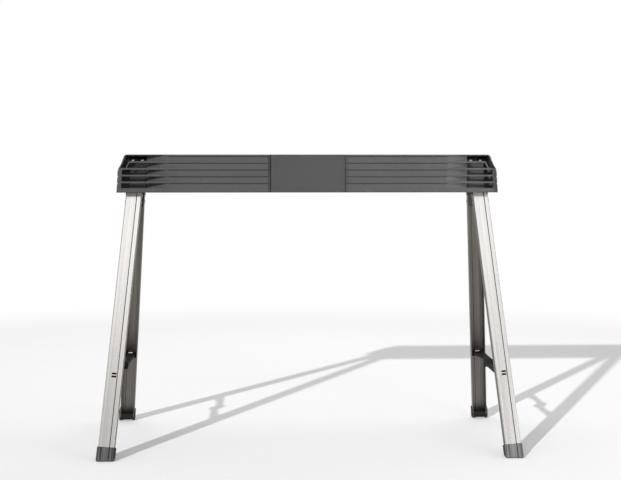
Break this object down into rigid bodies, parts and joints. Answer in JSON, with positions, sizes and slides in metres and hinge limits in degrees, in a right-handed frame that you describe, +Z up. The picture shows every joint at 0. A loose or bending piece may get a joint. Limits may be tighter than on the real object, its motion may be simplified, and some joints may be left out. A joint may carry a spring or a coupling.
{
  "type": "folding sawhorse",
  "caption": "Folding sawhorse: a slatted plastic beam on aluminium channel legs that fold in as A-frames with hinged spreaders.",
  "frame": {"origin": "on the floor under the middle of the opened sawhorse", "axes": "+X along the beam to the right, -Y towards the front, +Z up"},
  "size_m": [1.1408, 0.5736, 0.813],
  "materials": {
    "beam_plastic": "fine moulded grain",
    "head_plastic": "fine moulded grain",
    "foot_plastic": "matt moulded",
    "spreader_plastic": "satin moulded",
    "leg_aluminium": "brushed along the leg",
    "rivet_aluminium": "satin",
    "steel": "zinc plated"
  },
  "bodies": {
    "beam": {"beam": "beam_plastic", "hinge_pin_clips": "steel", "front_left_hinge_pin": "steel", "front_right_hinge_pin": "steel", "rear_left_hinge_pin": "steel", "rear_right_hinge_pin": "steel"},
    "front_left_leg_frame": {"front_left_leg": "leg_aluminium", "front_left_head": "head_plastic", "front_left_head_rivets": "rivet_aluminium", "front_left_foot": "foot_plastic", "front_left_bracket": "spreader_plastic", "front_left_bracket_pin": "steel"},
    "front_left_spreader_arm": {"front_left_arm": "spreader_plastic", "front_left_hub_rivet": "steel"},
    "front_right_leg_frame": {"front_right_leg": "leg_aluminium", "front_right_head": "head_plastic", "front_right_head_rivets": "rivet_aluminium", "front_right_foot": "foot_plastic", "front_right_bracket": "spreader_plastic", "front_right_bracket_pin": "steel"},
    "front_right_spreader_arm": {"front_right_arm": "spreader_plastic", "front_right_hub_rivet": "steel"},
    "rear_left_leg_frame": {"rear_left_leg": "leg_aluminium", "rear_left_head": "head_plastic", "rear_left_head_rivets": "rivet_aluminium", "rear_left_foot": "foot_plastic", "rear_left_bracket": "spreader_plastic", "rear_left_bracket_pin": "steel"},
    "rear_left_spreader_arm": {"rear_left_arm": "spreader_plastic", "rear_left_hub_rivet": "steel"},
    "rear_right_leg_frame": {"rear_right_leg": "leg_aluminium", "rear_right_head": "head_plastic", "rear_right_head_rivets": "rivet_aluminium", "rear_right_foot": "foot_plastic", "rear_right_bracket": "spreader_plastic", "rear_right_bracket_pin": "steel"},
    "rear_right_spreader_arm": {"rear_right_arm": "spreader_plastic", "rear_right_hub_rivet": "steel"}
  },
  "joints": [
    {"name": "left_fold", "type": "hinge", "parent": "beam", "child": "front_left_leg_frame", "pos_m": [-0.4786, -0.0145, 0.797], "axis": [1, 0, 0], "range_deg": [0, 18]},
    {"name": "front_left_arm_hinge", "type": "hinge", "parent": "front_left_leg_frame", "child": "front_left_spreader_arm", "pos_m": [-0.52797, -0.20268, 0.213], "axis": [0.9971, 0, -0.0763], "range_deg": [0, 68.38]},
    {"name": "rear_left_leg_hinge", "type": "hinge", "parent": "beam", "child": "rear_left_leg_frame", "pos_m": [-0.4786, 0.0145, 0.797], "axis": [-1, 0, 0], "range_deg": [0, 18]},
    {"name": "rear_left_arm_hinge", "type": "hinge", "parent": "rear_left_leg_frame", "child": "rear_left_spreader_arm", "pos_m": [-0.52797, 0.20268, 0.213], "axis": [-0.9971, 0, 0.0763], "range_deg": [0, 68.38]},
    {"name": "right_fold", "type": "hinge", "parent": "beam", "child": "front_right_leg_frame", "pos_m": [0.4786, -0.0145, 0.797], "axis": [1, 0, 0], "range_deg": [0, 18]},
    {"name": "front_right_arm_hinge", "type": "hinge", "parent": "front_right_leg_frame", "child": "front_right_spreader_arm", "pos_m": [0.52797, -0.20268, 0.213], "axis": [0.9971, 0, 0.0763], "range_deg": [0, 68.38]},
    {"name": "rear_right_leg_hinge", "type": "hinge", "parent": "beam", "child": "rear_right_leg_frame", "pos_m": [0.4786, 0.0145, 0.797], "axis": [-1, 0, 0], "range_deg": [0, 18]},
    {"name": "rear_right_arm_hinge", "type": "hinge", "parent": "rear_right_leg_frame", "child": "rear_right_spreader_arm", "pos_m": [0.52797, 0.20268, 0.213], "axis": [-0.9971, 0, -0.0763], "range_deg": [0, 68.38]}
  ],
  "couplings": [
    {"joint": "front_left_arm_hinge", "follows": "left_fold", "ratio": 3.7984},
    {"joint": "rear_left_leg_hinge", "follows": "left_fold", "ratio": 1},
    {"joint": "rear_left_arm_hinge", "follows": "left_fold", "ratio": 3.7984},
    {"joint": "front_right_arm_hinge", "follows": "right_fold", "ratio": 3.7984},
    {"joint": "rear_right_leg_hinge", "follows": "right_fold", "ratio": 1},
    {"joint": "rear_right_arm_hinge", "follows": "right_fold", "ratio": 3.7984}
  ]
}
